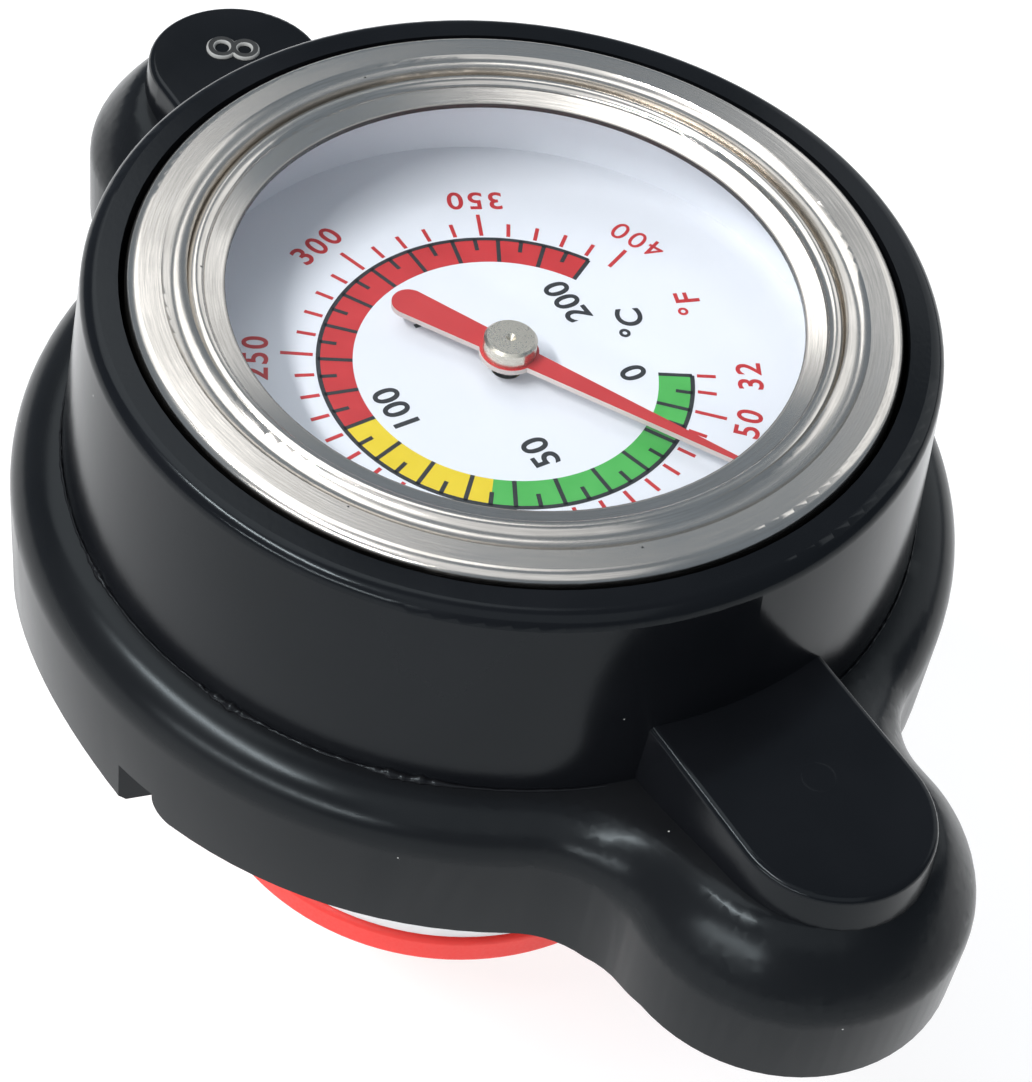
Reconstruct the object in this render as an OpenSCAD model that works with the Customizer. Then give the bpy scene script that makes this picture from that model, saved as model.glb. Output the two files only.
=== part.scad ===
// Radiator cap with a dial thermometer: a pressed bayonet cap, a moulded gauge housing on top of it,
// a bimetal dial gauge with its probe, and the pressure and vacuum valves round the probe.
// Millimetres, Z up. The origin is on the cap's axis, in the plane where the upper gasket meets the filler neck.

/* [Cap shell] */
// Outer radius of the round skirt
skirt_r = 24.3; // [23.4:0.1:27]
// Thickness of the pressed sheet
sheet_t = 1.2; // [0.8:0.1:1.5]
// Height of the cap's flat top above the neck seat
cap_top = 4.1; // [3.8:0.1:6]
// Depth of the skirt below the neck seat
skirt_drop = 3.8; // [3:0.1:6]
// Outside radius of the rounded shoulder
shoulder_r = 2.6; // [1.9:0.1:3.4]
// Distance from the cap's axis to the middle of each ear
ear_x = 27.4; // [27:0.2:27.4]
// Outer radius of each ear
ear_r = 8.5; // [7.5:0.1:10]
// Radius of the hollow blend between the skirt and an ear
ear_blend_r = 5.2; // [3:0.1:8]
// How far the lower edge of an ear is above the skirt's
ear_lift = 1.3; // [0.6:0.1:2]
// Length of the slope between those edges
ear_slope = 4; // [2:0.1:6]

/* [Bayonet lugs] */
// Direction of the first lug's middle, in degrees from the +X ear
lug_turn = -94; // [-100:1:-80]
// Half of the angle that a lug takes up
lug_half_angle = 17; // [10:1:22]
// How far the lugs hang below the skirt
lug_drop = 1.5; // [1.5:0.1:3]
// How far a lug reaches in from the outside of the skirt
lug_reach = 4.4; // [3:0.1:6]
// Angle of the slit beside each end of a lug
slit_angle = 5.5; // [2:0.5:8]
// How far a slit runs in from the outside of the skirt, where it ends in a point
slit_depth = 3.6; // [3:0.2:3.8]
// Height of a slit above the lower edge of the skirt
slit_rise = 1.4; // [1.3:0.1:2.5]
// Rounding of the skirt's corner beside a slit
slit_corner_r = 1.2; // [0.5:0.1:1.2]

/* [Gauge housing] */
// Thickness of the housing's rim
rim_wall = 1.8; // [1.2:0.1:2.2]
// Width of the groove between the rim and the bezel
rim_groove = 0.3; // [0.3:0.1:0.8]
// Height of the rim above the neck seat
rim_z = 15; // [14.4:0.1:20]
// Slope of the housing's wall, in degrees
housing_draft = 5.2; // [1:0.1:6]
// Rounding of the rim's outer edge
rim_edge_r = 0.8; // [0.2:0.1:1]
// Thickness of the housing's floor
floor_t = 1.6; // [1.2:0.1:2.4]
// Distance from the axis to the middle of a thumb pad's round end
pad_x = 28.4; // [26:0.1:32]
// Half the width of a thumb pad at its top
pad_half = 4.85; // [3.5:0.05:6]
// Height of the thumb pads above the cap's top
pad_h = 3.5; // [2:0.1:5]
// Slope of a thumb pad's sides, in degrees
pad_draft = 7; // [1:0.5:12]
// Rounding of a thumb pad's upper edge
pad_edge_r = 0.35; // [0.2:0.05:1]
// Shadow gap between a thumb pad and the ear
pad_gap = 0.2; // [0.1:0.05:0.5]

/* [Bezel] */
// Thickness of the bezel's outer wall
bezel_t = 0.45; // [0.3:0.05:0.6]
// How far the bezel stands above the housing's rim
bezel_proud = 0.35; // [0:0.05:1]
// Rounding of the bezel's outer edge
bezel_edge_r = 0.6; // [0.1:0.05:0.7]
// Width of the flat band round the hollow ring
bezel_band_w = 1.7; // [1:0.1:1.8]
// Width of the hollow ring in the bezel's face
cove_w = 1.2; // [1:0.1:1.8]
// Depth of the hollow ring
cove_depth = 0.28; // [0.1:0.02:0.4]
// Distance from the hollow ring to the middle of the raised bead
bead_step = 0.4; // [0.3:0.1:0.7]
// Rounding of the raised bead
bead_round = 0.45; // [0.3:0.05:0.55]
// Width of the slope from the middle of the bead down to the glass
bezel_slope_w = 1.4; // [0.8:0.1:2]
// Thickness of the bezel's inner edge above the glass
window_edge = 0.25; // [0.1:0.05:0.4]

/* [Gauge] */
// Outer radius of the gauge case
case_r = 17.6; // [16.5:0.05:18.5]
// Width of the flange round the case
case_flange_w = 0.62; // [0.5:0.02:0.8]
// Wall of the gauge case
case_t = 0.5; // [0.4:0.05:0.6]
// Thickness of the glass
crystal_t = 1.5; // [1:0.1:2]
// Distance from the underside of the bezel's bead to the top of the bezel
bezel_h = 1.05; // [0.9:0.05:1.3]
// Thickness of the ring under the glass
crystal_gasket_t = 0.4; // [0.3:0.05:0.6]
// Height of the dial's face above the neck seat
dial_z = 9.5; // [8.7:0.1:10.5]
// Thickness of the dial plate
dial_t = 0.5; // [0.3:0.05:0.6]
// Thickness of the dial's seat ring and of the white wall above it
dial_ring_t = 0.55; // [0.4:0.05:0.8]

/* [Pointer] */
// Direction of the pointer at rest, in degrees from the +X ear
pointer_turn = 29.3; // [0:0.1:60]
// Length from the pointer's axis to its tip
pointer_len = 12.8; // [8:0.1:13.4]
// Length from the pointer's axis to the end of its tail
pointer_tail = 6.6; // [4:0.1:10]
// Half the width of the pointer's arm at the hub
arm_half = 0.65; // [0.4:0.05:0.9]
// Half the width of the tip
tip_half = 0.16; // [0.1:0.02:0.3]
// Half the width of the tail's round end
tail_half = 0.9; // [0.6:0.05:1.2]
// Thickness of the pointer
pointer_t = 0.3; // [0.2:0.05:0.4]
// Height of the pointer above the dial
pointer_lift = 0.95; // [0.6:0.05:1.2]
// Radius of the hub cap
hub_r = 1.33; // [1:0.01:1.6]
// Height of the hub cap above the pointer
hub_h = 0.85; // [0.5:0.05:1]
// Radius of the pointer's shaft
shaft_r = 0.5; // [0.4:0.05:0.6]
// Wall of the hub's neck round the shaft
hub_neck_t = 0.4; // [0.3:0.05:0.5]
// Width of the pointer's boss round the hub cap
boss_rim = 0.15; // [0.1:0.05:0.3]

/* [Probe] */
// Outer radius of the probe's tube
stem_r = 2.5; // [2.3:0.05:2.7]
// Wall of the probe's tube
stem_t = 0.4; // [0.3:0.05:0.45]
// Length of the probe below the neck seat
stem_drop = 33.5; // [31:0.5:45]
// Length of the plug in the probe's tip
plug_h = 2.2; // [1.8:0.1:3]
// Turns of the bimetal helix
coil_turns = 9; // [5:1:10]
// Height of the bimetal strip along the probe
strip_w = 0.9; // [0.6:0.05:1.1]
// Thickness of the bimetal strip
strip_t = 0.25; // [0.2:0.05:0.3]
// Climb of the bimetal helix in one turn
coil_pitch = 1.7; // [1.6:0.05:1.9]
// Gap between the bimetal helix and the tube
coil_gap = 0.2; // [0.1:0.05:0.3]
// Height of the bush in the plug, and half the height of the upper one
bush_h = 1; // [0.8:0.1:1.4]
// Wall of the bush in the plug
bush_t = 0.6; // [0.5:0.05:0.8]
// Width of the shaft's collar above the helix
collar_w = 0.7; // [0.5:0.05:0.9]
// How far the tube stands above the gland
stem_proud = 0.2; // [0.1:0.05:0.5]

/* [Gland] */
// Radius of the threaded gland
gland_r = 4.5; // [4.2:0.1:5]
// Radius of the gland's head in the case
gland_head_r = 6.3; // [5.8:0.1:8]
// Thickness of the gland's head
gland_head_h = 1.2; // [0.8:0.1:1.4]
// Width of the clamp nut across its flats
nut_af = 13; // [12:0.5:13]
// Thickness of the clamp nut
nut_h = 3.2; // [2:0.1:4]
// Thickness of the washer on the nut
washer_t = 0.6; // [0.4:0.1:1]
// How far the gland stands out of the nut
gland_end = 0.5; // [0.3:0.1:1.5]
// Section radius of the ring that seals the gland
o_ring_r = 0.78; // [0.5:0.02:0.8]

/* [Neck seal] */
// Thickness of the spring disc
disc_t = 0.4; // [0.3:0.05:0.5]
// Outer radius of the spring disc and the neck gasket
neck_seal_r = 20.5; // [19:0.1:21]
// Inner radius of the neck gasket
neck_gasket_in_r = 15.4; // [15:0.1:17]
// Thickness of the neck gasket
neck_gasket_t = 1.5; // [1:0.1:1.7]

/* [Spring cage] */
// Inner radius of the cage's tube
cage_r = 8; // [7.8:0.1:8.4]
// Wall of the cage
cage_t = 0.8; // [0.6:0.05:1]
// Radius of the cage's flange under the spring disc
cage_flange_r = 11.9; // [11.5:0.1:12.4]
// Length of the cage below the neck seat
cage_drop = 12; // [10:0.1:13]

/* [Pressure valve] */
// Outer radius of the red seal
seal_r = 14.3; // [13.2:0.1:15]
// Thickness of the red seal
seal_t = 2.1; // [1.2:0.1:2.4]
// Depth of the red seal's face below the neck seat
seal_drop = 22.2; // [21:0.1:25]
// Rounding of the red seal's edges
seal_edge_r = 0.4; // [0.2:0.05:0.5]
// How far the red seal stands out round the plate on it
plate_inset = 0.3; // [0.2:0.1:1.2]
// Thickness of the plate
plate_t = 0.8; // [0.6:0.1:1]
// Height of the plate's turned-up rim
plate_rim_h = 1.1; // [0.6:0.1:1.6]
// Outer radius of the valve's centre tube
eyelet_r = 6.2; // [6:0.1:6.4]
// Wall of the valve's centre tube
eyelet_t = 0.8; // [0.6:0.05:0.9]
// Radius of the flange under the seal
eyelet_foot_r = 8.2; // [7.5:0.1:9.5]
// Thickness of the centre tube's two flanges
eyelet_flange_t = 0.6; // [0.5:0.05:0.8]
// Turns of the main spring
main_turns = 6.5; // [5:0.5:7]
// Wire diameter of the main spring
main_wire = 1.6; // [1.4:0.1:1.8]
// Gap between a spring and what it goes round, and between its end turns
spring_gap = 0.5; // [0.4:0.05:0.6]

/* [Vacuum valve] */
// Gap between the probe and the vacuum valve's sleeve
sleeve_gap = 0.1; // [0.05:0.05:0.2]
// Wall of the vacuum valve's sleeve
sleeve_t = 0.7; // [0.5:0.05:0.8]
// Width of the passage round the sleeve
port_w = 0.6; // [0.4:0.05:0.8]
// Width and height of the rolled lip at the sleeve's top
poppet_lip = 0.5; // [0.4:0.05:0.6]
// Radius of the vacuum valve's foot
poppet_foot_r = 6.2; // [5.6:0.1:7.5]
// Thickness of the vacuum valve's foot
poppet_foot_t = 0.8; // [0.6:0.1:1.2]
// Thickness of the vacuum valve's seal
vacuum_seal_t = 0.8; // [0.6:0.1:1.2]
// Radius of the washer on the vacuum spring
vacuum_washer_r = 5.1; // [5:0.05:5.2]
// Thickness of the washer on the vacuum spring
vacuum_washer_t = 0.6; // [0.4:0.1:0.8]
// Height of the vacuum spring
vacuum_spring_h = 6.8; // [6:0.1:7.5]
// Turns of the vacuum spring
vacuum_turns = 5.5; // [4:0.5:5.5]
// Wire diameter of the vacuum spring
vacuum_wire = 0.6; // [0.5:0.05:0.6]

/* [Fits] */
// Gap between pieces that are pushed or screwed together
press_gap = 0.03; // [0.01:0.01:0.05]
// Gap at a bearing
run_gap = 0.05; // [0.02:0.01:0.1]
// Gap at a seat that a valve rests on
seat_gap = 0.05; // [0.02:0.01:0.1]
// Gap round a piece that slides freely
slide_gap = 0.3; // [0.25:0.05:0.4]

/* [Hidden] */
$fn = 96;

// How far a cut runs past the face that it opens
cut_over = 1;
// Rings in one turn of a wound form, and sides of a round wire
rings_per_turn = 16;
wire_sides = 6;

// Middle of the blend beside each ear
blend_reach = skirt_r + ear_blend_r;
blend_x = (pow(blend_reach, 2) - pow(ear_r + ear_blend_r, 2) + pow(ear_x, 2)) / (2 * ear_x);
blend_y = sqrt(pow(blend_reach, 2) - pow(blend_x, 2));
skirt_low = -skirt_drop;
ear_low = skirt_low + ear_lift;
lug_low = skirt_low - lug_drop;
// The blank is cut back between the lugs from the middle of the slits on
lug_blank_angle = lug_half_angle + slit_angle / 2;
// A lug is bent along a straight line, so its outer edge lies on the chord between those middles
lug_chord_x = skirt_r * cos(lug_blank_angle);

// Radii from the gauge case out to the housing's rim, and in across the bezel's face to the glass
case_flange_r = case_r + case_flange_w;
bezel_r = case_flange_r + press_gap + bezel_t;
rim_bore_r = bezel_r + rim_groove;
rim_r = rim_bore_r + rim_wall;
cove_out_r = bezel_r - bezel_band_w;
cove_in_r = cove_out_r - cove_w;
bead_r = cove_in_r - bead_step;
window_r = bead_r - bezel_slope_w;

// Heights in the gauge, from the housing's floor up to the glass
case_low = cap_top + floor_t;
bezel_top = rim_z + bezel_proud;
crystal_top = bezel_top - bezel_h;
crystal_low = crystal_top - crystal_t;
case_high = crystal_low - crystal_gasket_t;
case_bore_r = case_r - case_t;
dial_r = case_bore_r - press_gap;
pointer_z = dial_z + pointer_lift;
pointer_top = pointer_z + pointer_t;
hub_neck_r = shaft_r + hub_neck_t;
boss_r = hub_r + boss_rim;

// Heights under the cap's top, from the top down to the nut
ceiling_z = cap_top - sheet_t;
disc_low = ceiling_z - disc_t;
cage_high = disc_low;
cage_seat_z = cage_high - cage_t;
nut_high = cage_seat_z - washer_t;
nut_low = nut_high - nut_h;
gland_low = nut_low - gland_end;
gland_high = case_low + case_t + gland_head_h;
gland_hole_r = gland_r + press_gap;
stem_low = -stem_drop;
stem_high = gland_high + stem_proud;
stem_bore_r = stem_r - stem_t;
plug_high = stem_low + plug_h;
bush_r = shaft_r + bush_t;
collar_r = shaft_r + collar_w;

// The bimetal helix stands on the plug
coil_r = stem_bore_r - coil_gap - strip_t / 2;
coil_low = plug_high + strip_w / 2 + seat_gap;
coil_high = coil_low + coil_turns * coil_pitch;

// Heights in the pressure valve, from the seal's face up to the cage's lip
seal_low = -seal_drop;
seal_high = seal_low + seal_t;
plate_r = seal_r - plate_inset;
plate_high = seal_high + plate_t;
cage_low = -cage_drop;
cage_lip_z = cage_low + cage_t;
cage_lip_r = eyelet_r + slide_gap;
eyelet_bore_r = eyelet_r - eyelet_t;
eyelet_head_r = cage_r - slide_gap;
eyelet_head_z = cage_lip_z + seat_gap;
eyelet_high = eyelet_head_z + eyelet_flange_t;
eyelet_low = seal_low - eyelet_flange_t;
main_wire_r = main_wire / 2;
main_r = cage_r + cage_t + spring_gap + main_wire_r;
main_end_pitch = main_wire + spring_gap;

// Heights in the vacuum valve, from its foot up to the washer
sleeve_bore_r = stem_r + sleeve_gap;
sleeve_r = sleeve_bore_r + sleeve_t;
eyelet_port_r = sleeve_r + port_w;
vacuum_seal_high = eyelet_low - seat_gap;
vacuum_seal_low = vacuum_seal_high - vacuum_seal_t;
poppet_low = vacuum_seal_low - poppet_foot_t;
washer_low = seal_low + vacuum_spring_h;
washer_high = washer_low + vacuum_washer_t;
vacuum_wire_r = vacuum_wire / 2;
vacuum_r = (sleeve_r + eyelet_bore_r) / 2;
vacuum_end_pitch = vacuum_wire + spring_gap;

steel = "silver";
black = [0.07, 0.08, 0.09];
rubber = [0.12, 0.12, 0.12];
brass = [0.78, 0.66, 0.38];
red = [0.86, 0.16, 0.12];

// Profiles are drawn in the half plane right of the axis, with the height upwards.
module band(inner, outer, low, high) {
    translate([inner, low]) square([outer - inner, high - low]);
}

module ring(inner, outer, low, high) {
    rotate_extrude() band(inner, outer, low, high);
}

// Everything outside a rounded corner, for cutting it off
module corner_waste(edge) {
    difference() {
        square(edge + cut_over);
        circle(edge);
    }
}

// A round body's half profile with a rounded upper edge
module crowned(outer, low, high, edge) {
    difference() {
        band(0, outer, low, high);
        translate([outer - edge, high - edge]) corner_waste(edge);
    }
}

// The same with a wall that slopes outwards downwards and meets the rounded edge smoothly
module drafted(outer, low, high, edge, draft) {
    centre = [outer - edge, high - edge];
    touch = centre + edge * [cos(draft), sin(draft)];
    foot = touch[0] + (touch[1] - low) * tan(draft);
    polygon([[0, low], [foot, low], touch, [centre[0], high], [0, high]]);
    translate(centre) circle(edge);
}

// What is cut from an ear's neck: a round post with a flared top that leaves the rounded shoulder
module neck_waste(radius, low, high, edge) {
    band(0, radius, low - cut_over, high + cut_over);
    difference() {
        translate([radius, high - edge]) square([edge, edge + cut_over]);
        translate([radius + edge, high - edge]) circle(edge);
    }
}

// The cap's outside, or its inside when it is inset by the sheet
module shell_form(inset, low) {
    high = cap_top - inset;
    edge = shoulder_r - inset;
    rotate_extrude() crowned(skirt_r - inset, low, high, edge);
    for (side = [-1, 1]) {
        translate([side * ear_x, 0, 0]) rotate_extrude() crowned(ear_r - inset, low, high, edge);
        difference() {
            translate([0, 0, low]) linear_extrude(high - low)
                polygon([[0, 0], [side * blend_x, -blend_y], [side * ear_x, 0], [side * blend_x, blend_y]]);
            for (turn = [-1, 1])
                translate([side * blend_x, turn * blend_y, 0])
                    rotate_extrude() neck_waste(ear_blend_r + inset, low, high, edge);
        }
    }
}

// A part of a turned profile that starts at a given angle
module sector(start, angle) {
    rotate(start) rotate_extrude(angle = angle) children();
}

// The pressed blank, whose wall runs down to the lugs all round, and the lugs' turned-in ends
module shell_blank() {
    difference() {
        shell_form(0, lug_low);
        shell_form(sheet_t, lug_low - cut_over);
    }
    for (turn = [0, 180])
        sector(lug_turn + turn - lug_blank_angle, 2 * lug_blank_angle)
            band(skirt_r - lug_reach, skirt_r - sheet_t / 2, lug_low, lug_low + sheet_t);
}

// What is cut off under both ears: their edge is higher than the skirt's, with a slope between them
module ear_waste() {
    low = lug_low - cut_over;
    far_x = ear_x + ear_r + cut_over;
    half_y = ear_r + ear_blend_r;
    run = ear_slope / ear_lift;
    for (turn = [0, 180]) rotate(turn)
        translate([0, half_y, 0]) rotate([90, 0, 0]) linear_extrude(2 * half_y)
            polygon([
                [skirt_r - (skirt_low - low) * run, low], [far_x, low], [far_x, ear_low], [skirt_r + ear_slope, ear_low]
            ]);
}

// What is cut off beside a lug: the wall on one side of it, a slit at each end with the skirt's corner rounded,
// and the outside of its bend. A slit narrows inwards to a point, so the lug is wider inside than at its bend.
module lug_waste() {
    lug_in_r = skirt_r - lug_reach - cut_over;
    slit_end = lug_half_angle + slit_angle;
    slit_point = (skirt_r - slit_depth) * [cos(slit_end), sin(slit_end)];
    slit_start = skirt_r * [cos(lug_half_angle), sin(lug_half_angle)];
    slit_side = slit_start + (slit_start - slit_point) * cut_over / slit_depth;
    slit_out = (skirt_r + cut_over) * [cos(slit_end), sin(slit_end)];
    sector(lug_blank_angle, 180 - 2 * lug_blank_angle)
        band(lug_in_r, ear_x + ear_r + cut_over, lug_low - cut_over, skirt_low);
    for (side = [-1, 1]) {
        translate([0, 0, lug_low - cut_over]) linear_extrude(lug_drop + slit_rise + cut_over)
            polygon([for (p = [slit_point, slit_out, slit_side]) [p[0], side * p[1]]]);
        rotate(side * slit_end) translate([lug_in_r, 0, 0])
            rotate([90, 0, 90]) linear_extrude(lug_reach + 2 * cut_over)
                translate([side * slit_corner_r, skirt_low + slit_corner_r])
                    rotate(225 - side * 45) corner_waste(slit_corner_r);
    }
    translate([skirt_r, 0, skirt_low])
        rotate([0, atan2(skirt_r - lug_chord_x, lug_drop), 0])
            translate([0, -skirt_r / 2, -skirt_r]) cube(skirt_r);
}

module cap_shell() {
    color(black) difference() {
        shell_blank();
        cylinder(r = gland_hole_r, h = cap_top + cut_over);
        ear_waste();
        for (turn = [0, 180]) rotate(lug_turn + turn) lug_waste();
    }
}

// A thumb pad: a drafted bar with a drafted round end
module thumb_pad() {
    low = cap_top + pad_gap;
    high = cap_top + pad_h;
    translate([pad_x, 0, 0]) rotate_extrude() drafted(pad_half, low, high, pad_edge_r, pad_draft);
    rotate([90, 0, 90]) linear_extrude(pad_x)
        for (flip = [0, 1]) mirror([flip, 0]) drafted(pad_half, low, high, pad_edge_r, pad_draft);
}

module gauge_housing() {
    color(black) difference() {
        union() {
            rotate_extrude() drafted(rim_r, cap_top, rim_z, rim_edge_r, housing_draft);
            for (turn = [0, 180]) rotate(turn) thumb_pad();
        }
        translate([0, 0, case_low]) cylinder(r = rim_bore_r, h = rim_z - case_low + cut_over);
        translate([0, 0, cap_top - cut_over])
            cylinder(r = gland_r + 2 * o_ring_r + slide_gap, h = floor_t + 2 * cut_over);
    }
}

module gauge_case() {
    color(steel) rotate_extrude() {
        band(gland_hole_r, case_r, case_low, case_low + case_t);
        band(case_bore_r, case_r, case_low, case_high);
        band(case_bore_r, case_flange_r, case_high - case_t, case_high);
    }
}

// The bezel's rolled face over its outer wall, with a hem under the flange of the case
module bezel() {
    cove_mid = (cove_in_r + cove_out_r) / 2;
    cove_half = (cove_out_r - cove_in_r) / 2;
    cove_r = (pow(cove_half, 2) + pow(cove_depth, 2)) / (2 * cove_depth);
    bead_z = bezel_top - bead_round - cove_depth / 2;
    hem_high = case_high - case_t - press_gap;
    color(steel) rotate_extrude() {
        difference() {
            crowned(bezel_r, crystal_top, bezel_top, bezel_edge_r);
            translate([0, crystal_top - cut_over]) square([bead_r, bezel_h + 2 * cut_over]);
            translate([cove_mid, bezel_top - cove_depth + cove_r]) circle(cove_r);
            band(bead_r, cove_in_r, bead_z, bezel_top + cut_over);
        }
        translate([bead_r, bead_z]) circle(bead_round);
        polygon([
            [window_r, crystal_top], [bead_r, crystal_top], [bead_r, bead_z + bead_round / 2],
            [window_r, crystal_top + window_edge]
        ]);
        band(bezel_r - bezel_t, bezel_r, hem_high - bezel_t, crystal_top + bezel_t);
        band(case_r + press_gap, bezel_r, hem_high - bezel_t, hem_high);
    }
}

module crystal() {
    color([0.85, 0.9, 0.95, 0.35]) rotate_extrude()
        crowned(case_flange_r, crystal_low, crystal_top, crystal_t / 5);
}

module crystal_gasket() {
    color(rubber) ring(case_bore_r, case_flange_r, case_high, crystal_low);
}

module dial_ring() {
    color("white") ring(dial_r - dial_ring_t, dial_r, dial_z, crystal_low - press_gap);
}

module dial_seat() {
    color(steel) ring(dial_r - 2 * dial_ring_t, dial_r, case_low + case_t, dial_z - dial_t);
}

module dial_plate() {
    color("white") ring(shaft_r + slide_gap, dial_r, dial_z - dial_t, dial_z);
}

// The blade: a tapered arm with a round tip, a broad tail with a round end and a boss under the hub
module pointer() {
    arm_end = pointer_len - tip_half;
    tail_end = pointer_tail - tail_half;
    color(red) rotate(pointer_turn) translate([0, 0, pointer_z]) linear_extrude(pointer_t) difference() {
        union() {
            polygon([
                [0, -arm_half], [arm_end, -tip_half], [arm_end, tip_half], [0, arm_half],
                [-tail_end, tail_half], [-tail_end, -tail_half]
            ]);
            translate([arm_end, 0]) circle(tip_half);
            translate([-tail_end, 0]) circle(tail_half);
            circle(boss_r);
        }
        circle(hub_neck_r + press_gap);
    }
}

// The hub's neck passes through the pointer, and its cap has a chamfered edge and a punched centre
module pointer_hub() {
    cap_top_z = pointer_top + hub_h;
    chamfer = hub_r / 10;
    punch = shaft_r / 2;
    color("silver") rotate_extrude() difference() {
        union() {
            band(0, hub_neck_r, pointer_z - pointer_t, pointer_top);
            polygon([
                [0, pointer_top], [hub_r, pointer_top], [hub_r, cap_top_z - chamfer],
                [hub_r - chamfer, cap_top_z], [punch, cap_top_z], [0, cap_top_z - punch]
            ]);
        }
        band(-cut_over, shaft_r + press_gap, pointer_z - pointer_t - cut_over, pointer_top);
    }
}

// The shaft runs from the hub to the plug, with a collar above the helix
module pointer_shaft() {
    color(steel) {
        shaft_low = plug_high - bush_h;
        translate([0, 0, shaft_low]) cylinder(r = shaft_r, h = pointer_top - press_gap - shaft_low);
        translate([0, 0, coil_high + strip_w / 2 + slide_gap]) cylinder(r = collar_r, h = strip_w);
    }
}

module upper_bush() {
    color(brass) ring(shaft_r + run_gap, stem_bore_r - press_gap, stem_high - 2 * bush_h, stem_high);
}

module lower_bush() {
    color(brass) ring(shaft_r + run_gap, bush_r, plug_high - bush_h, plug_high);
}

// Height of a wound form's centre line at a number of turns, with closer turns at both ends
function climb(turn, turns, rise, end_pitch) =
    turn < 1 ? end_pitch * turn
    : turn > turns - 1 ? rise - end_pitch * (turns - turn)
    : end_pitch + (turn - 1) * (rise - 2 * end_pitch) / (turns - 2);

function climbs(turns, rise, end_pitch) =
    [for (i = [0 : turns * rings_per_turn]) climb(i / rings_per_turn, turns, rise, end_pitch)];

// Least gap between a wound form and its next turn, over all its rings
function least_gap(heights, thickness) =
    min([for (i = [rings_per_turn : len(heights) - 1]) heights[i] - heights[i - rings_per_turn]]) - thickness;

function wire_section(radius) =
    [for (i = [0 : wire_sides - 1]) let (a = 360 * i / wire_sides) radius * [cos(a), sin(a)]];

// One unbroken tube: a section carried round the axis at a radius, through a list of heights
module wound(radius, heights, section) {
    sides = len(section);
    last = len(heights) - 1;
    points = [
        for (i = [0 : last]) let (turn = 360 * i / rings_per_turn) for (corner = section)
            [(radius + corner[0]) * cos(turn), (radius + corner[0]) * sin(turn), heights[i] + corner[1]]
    ];
    walls = [
        for (i = [0 : last - 1]) for (k = [0 : sides - 1])
            let (a = i * sides + k, b = i * sides + (k + 1) % sides)
                each [[a, b + sides, b], [a, a + sides, b + sides]]
    ];
    first_cap = [for (k = [1 : sides - 2]) [0, k, k + 1]];
    end = last * sides;
    last_cap = [for (k = [1 : sides - 2]) [end, end + k + 1, end + k]];
    polyhedron(points, concat(walls, first_cap, last_cap));
}

coil_heights = climbs(coil_turns, coil_high - coil_low, coil_pitch);
strip_section = [for (corner = [[1, -1], [1, 1], [-1, 1], [-1, -1]]) [corner[0] * strip_t, corner[1] * strip_w] / 2];
main_rise = cage_seat_z - plate_high - main_wire - 2 * seat_gap;
main_heights = climbs(main_turns, main_rise, main_end_pitch);
vacuum_rise = vacuum_spring_h - vacuum_wire - 2 * seat_gap;
vacuum_heights = climbs(vacuum_turns, vacuum_rise, vacuum_end_pitch);
echo(least_gap_of_bimetal_coil = least_gap(coil_heights, strip_w));
echo(least_gap_of_pressure_spring = least_gap(main_heights, main_wire));
echo(least_gap_of_vacuum_spring = least_gap(vacuum_heights, vacuum_wire));

module bimetal_coil() {
    color(brass) translate([0, 0, coil_low]) wound(coil_r, coil_heights, strip_section);
}

module stem_tube() {
    color(steel) ring(stem_bore_r, stem_r, stem_low, stem_high);
}

// The plug closes the tube and holds the lower bush in a pocket
module stem_plug() {
    color(steel) rotate_extrude() difference() {
        band(0, stem_bore_r - press_gap, stem_low, plug_high);
        band(-cut_over, bush_r + press_gap, plug_high - bush_h - run_gap, plug_high + cut_over);
    }
}

// The gland's head lies on the floor of the case, and its shank passes down to the nut
module stem_gland() {
    color(brass) rotate_extrude() {
        band(stem_r + press_gap, gland_head_r, case_low + case_t, gland_high);
        band(stem_r + press_gap, gland_r, gland_low, case_low + case_t);
    }
}

module stem_o_ring() {
    color(rubber) rotate_extrude()
        translate([gland_r + press_gap + o_ring_r, cap_top + floor_t / 2]) circle(o_ring_r);
}

module clamp_washer() {
    color(steel) ring(gland_hole_r, cage_r - slide_gap, nut_high, cage_seat_z);
}

// A hexagon nut with its corners chamfered at both ends
module clamp_nut() {
    corner_r = nut_af / 2 / cos(30);
    chamfer = corner_r - nut_af / 2;
    color(brass) difference() {
        intersection() {
            translate([0, 0, nut_low]) cylinder(r = corner_r, h = nut_h, $fn = 6);
            rotate_extrude() polygon([
                [0, nut_low], [nut_af / 2, nut_low], [corner_r, nut_low + chamfer / 2],
                [corner_r, nut_high - chamfer / 2], [nut_af / 2, nut_high], [0, nut_high]
            ]);
        }
        translate([0, 0, nut_low - cut_over]) cylinder(r = gland_hole_r, h = nut_h + 2 * cut_over);
    }
}

// The disc is flat under the cap's top, dished down to the gasket and flat again over it
module spring_disc() {
    flat_r = cage_flange_r + disc_t;
    rim_high = neck_gasket_t + disc_t;
    color(steel) rotate_extrude() polygon([
        [gland_hole_r, disc_low], [flat_r, disc_low], [neck_gasket_in_r, neck_gasket_t], [neck_seal_r, neck_gasket_t],
        [neck_seal_r, rim_high], [neck_gasket_in_r, rim_high], [flat_r, ceiling_z], [gland_hole_r, ceiling_z]
    ]);
}

module neck_gasket() {
    color(rubber) ring(neck_gasket_in_r, neck_seal_r, 0, neck_gasket_t);
}

// The cage hangs by its flange, guides the main spring and holds the valve's head on its lip
module spring_cage() {
    color(steel) rotate_extrude() {
        band(gland_hole_r, cage_flange_r, cage_seat_z, cage_high);
        band(cage_r, cage_r + cage_t, cage_low, cage_high);
        band(cage_lip_r, cage_r + cage_t, cage_low, cage_lip_z);
    }
}

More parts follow.
